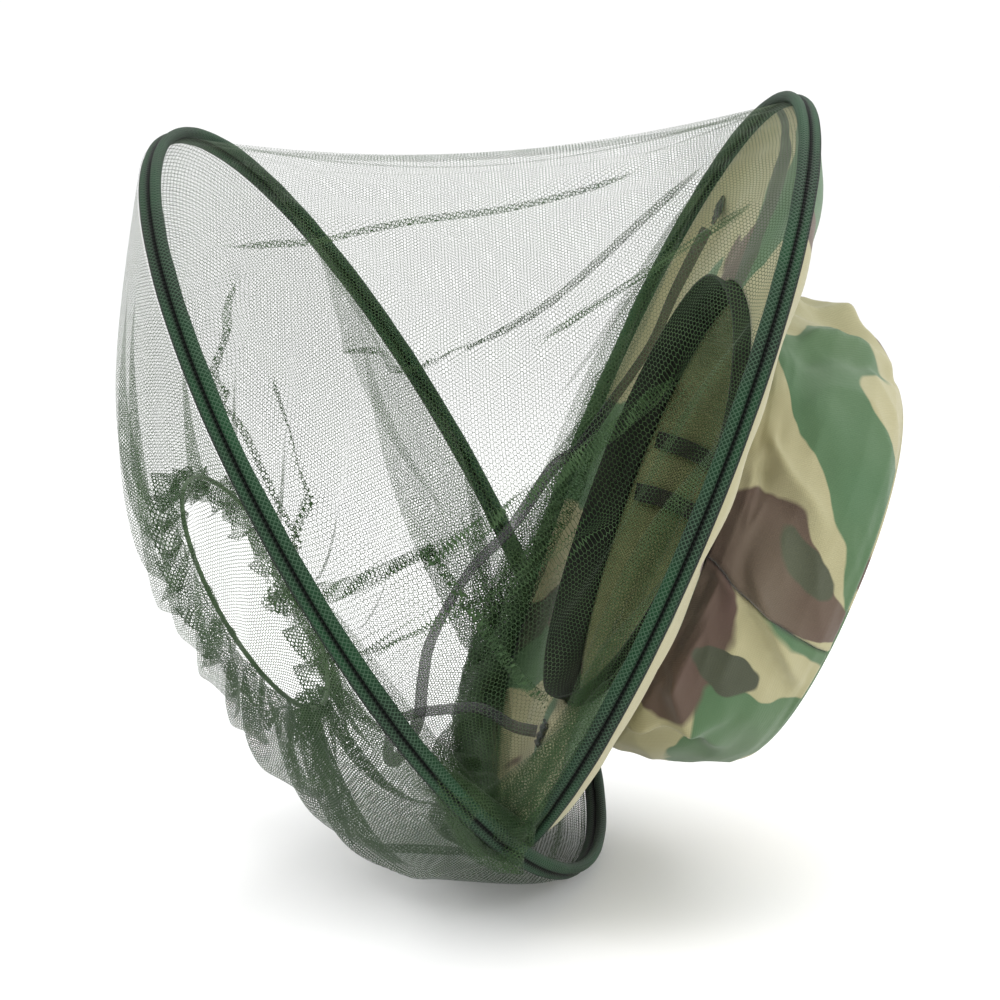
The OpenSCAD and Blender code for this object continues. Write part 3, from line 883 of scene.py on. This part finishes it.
TUCKS = (((0.98, 258), (0.13, 224), 0.027), ((0.92, 266), (0.28, 239), 0.015), ((0.64, 237), (0.40, 266), 0.019),
         ((0.93, 206), (0.22, 189), 0.006), ((0.44, 220), (0.06, 203), 0.007), ((0.97, 226), (0.76, 250), 0.006),
         ((0.84, 224), (0.77, 240), 0.006), ((0.76, 236), (0.92, 257), 0.012), ((0.87, 209), (0.97, 238), 0.009),
         ((0.03, 140), (0.95, 104), 0.010), ((0.50, 60), (0.03, 92), 0.016))
wall, shift, dense = tuck(taut(finer(finer(net_wall())), 0.5), TUCKS)
R, C = wall.shape[:2]
uv = even_uv(R, C, 2 * pi * NET_R, NET_TALL) + np.concatenate([shift, shift[:, :1]], 1)
obj = sheet_mesh("net_wall", wall, uv, NET)
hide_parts("veil_net")
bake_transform(obj)
angle = (np.arange(C) / C * 2 * pi)[None]
depth = np.linspace(0, 1, R)[:, None]
low = smooth(np.cos(angle), -0.15, 0.95) * (0.55 + 0.45 * np.sin(pi * depth))
rim = 0.30 * smooth(-depth, -0.30, 0) + 0.22 * smooth(depth, 0.93, 1)
# these values thicken the threads and, in the net's material, also darken them as painted shade: most on the side
# where the hoops meet and next to both hoops
mark(obj, "bunched", np.maximum(np.maximum(low, rim), 0.34 * dense))


# ---- skirt: gathered from the lower hoop to the elastic, then a ruffled hem ----
SKIRT = np.array([[0, 0.1958, 0.0030], [0.006, 0.182, 0.022], [0.016, 0.157, 0.043], [0.024, 0.133, 0.060],
                  [0.025, 0.110, 0.072], [0.018, 0.087, 0.078], [0.009, 0.0635, 0.078]])
RUFFLES = 19
NECK_CUT, SKIRT_TALL, HEM_TALL, SKIRT_STEPS = 0.112, 0.182, 0.016, 260


def skirt():
    """The net from the lower hoop to the neck, and the ruffled hem that goes on from its last row."""
    R, C = 34, 304
    a = np.arange(C) / C * 2 * pi
    step = np.concatenate([[0], np.cumsum(np.linalg.norm(np.diff(SKIRT, axis=0), axis=1))])
    k = np.linspace(0, step[-1], R)
    d, r, z = (np.interp(k, step, SKIRT[:, j])[:, None] for j in range(3))
    g = (k / step[-1])[:, None]
    phase = (RUFFLES * a + 0.9 * np.sin(3 * a) + 0.5 * np.sin(5 * a))[None]
    rr = r + (0.0045 * np.sin(phase) + 0.004 * wave((R, C), (4, 24), 71)) * g
    zz = z + 0.004 * g * np.cos(RUFFLES * a + 1)[None]
    X = veil(np.stack([d + rr * np.cos(a), rr * np.sin(a), zz], -1))
    held = np.zeros((R, C), bool)
    held[0] = held[-1] = True
    rest = X.copy()

    def push(P, f):
        P[..., 2] = np.maximum(P[..., 2], 0.0012)
        v = (P - VEIL_C) @ VEIL_R
        q = np.hypot(v[..., 0] - 0.01, v[..., 1])
        v[..., 2] = np.maximum(v[..., 2], np.interp(q, *SKIRT_FLOOR))
        return veil(v)

    wide = 2 * pi * (SKIRT_R + (NECK_CUT - SKIRT_R) * g) / C
    X = relax(X, held, wide, SKIRT_TALL / (R - 1), SKIRT_STEPS, lambda f: rest, push, lambda X, f: 0.0, 2.0,
              iters=7, comp=0.25, bend=0.12, seed=9)
    near = np.exp(-(np.degrees(a) - 48) ** 2 / 42**2)[None] * np.sin(pi * g**0.8)
    top = smooth(-np.cos(a), -0.1, 0.9)[None] * np.sin(pi * g)
    v = (X - VEIL_C) @ VEIL_R
    v[..., 0] -= 0.016 * near + 0.004 * top
    v[..., 1] -= 0.012 * near
    v[..., 2] += 0.012 * top - 0.006 * near
    X = veil(v)
    X[..., 2] = np.maximum(X[..., 2], 0.0012)
    h = np.linspace(0, 1, 7)[1:, None]
    rr = NECK_R - 0.001 + np.sin(phase) * (0.0030 + 0.0058 * h) + 0.003 * h
    zz = NECK_Z + 0.0005 + 0.0135 * h + 0.0022 * h * np.cos(phase + 0.6)
    loop = a + 0.045 * h * np.sin(2 * phase + 0.7)
    hem = veil(np.stack([NECK_DROP + rr * np.cos(loop), rr * np.sin(loop), zz + 0 * a], -1))
    return X, np.concatenate([X[-1:], hem])


body, hem = (finer(P) for P in skirt())
for name, P, size, tall, node, on in (("net_skirt", body, SKIRT_R, SKIRT_TALL, "skirt_net", "lower_binding"),
                                      ("neck_ruffle", hem, NECK_CUT, HEM_TALL, "neck_hem", "neck_elastic")):
    R, C = P.shape[:2]
    obj = sheet_mesh(name, P, even_uv(R, C, 2 * pi * size, tall), NET_SKIRT)
    g, a = np.linspace(0, 1, R)[:, None], (np.arange(C) / C * 2 * pi)[None]
    # the bunched values thicken the threads and, in the net's material, also darken them as painted shade
    if node == "skirt_net":
        mark(obj, "bunched", 0.10 + 0.50 * smooth(np.cos(a - 0.2), -0.3, 0.8) + 0.20 * g**2)
    else:
        mark(obj, "bunched", 0.35 + 0.5 * g**2 + 0 * a)
    place(obj, "veil_hoop", node)

for name, mat in (("brim_wire", STEEL), ("lower_wire", STEEL), ("neck_elastic", ELASTIC)):
    for s in frame["nodes"][name].material_slots:
        s.material = mat


# ---- floor and light ----
FLOOR_GLOW, WORLD_LIGHT, LAMP_AIM = 0.05, 1.04, Vector((0, 0, 0.15))


def surface(name, color):
    p = Paint(name)
    n = p.noise(p.node("TexCoord", 3), 6, 2)
    mat = p.cloth(p.mix(n, color, tuple(0.985 * c for c in color)), 0.9, sheen=0.0, spec=0.1)
    shader = next(n for n in p.tree.nodes if n.type == "BSDF_PRINCIPLED")
    shader.inputs["Emission Color"].default_value = (1, 1, 1, 1)
    shader.inputs["Emission Strength"].default_value = FLOOR_GLOW
    return mat


bpy.ops.mesh.primitive_plane_add(size=60, location=(0, 20, 0))
floor = bpy.context.object
floor.name = "floor"
floor.data.materials.append(surface("floor_white", (0.95, 0.95, 0.95)))
floor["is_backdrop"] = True


def lamp(name, at, size, power):
    light = bpy.data.objects.new(name, bpy.data.lights.new(name, "AREA"))
    light.data.size, light.data.energy = size, power
    light.location = at
    light.rotation_euler = (LAMP_AIM - Vector(at)).to_track_quat("-Z", "Y").to_euler()
    bpy.context.collection.objects.link(light)


lamp("key", (-0.7, -1.0, 1.6), 1.1, 12)
lamp("top", (0.5, 0.5, 1.7), 1.2, 12)
lamp("fill", (1.4, -1.0, 0.8), 1.0, 6)
world = bpy.data.worlds.new("studio")
world.use_nodes = True
background = world.node_tree.nodes["Background"]
background.inputs[0].default_value = (1, 1, 1, 1)
background.inputs[1].default_value = WORLD_LIGHT
bpy.context.scene.world = world
bpy.context.scene.view_settings.view_transform = "Standard"
bpy.context.scene.cycles.transparent_max_bounces = 40

low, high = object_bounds()
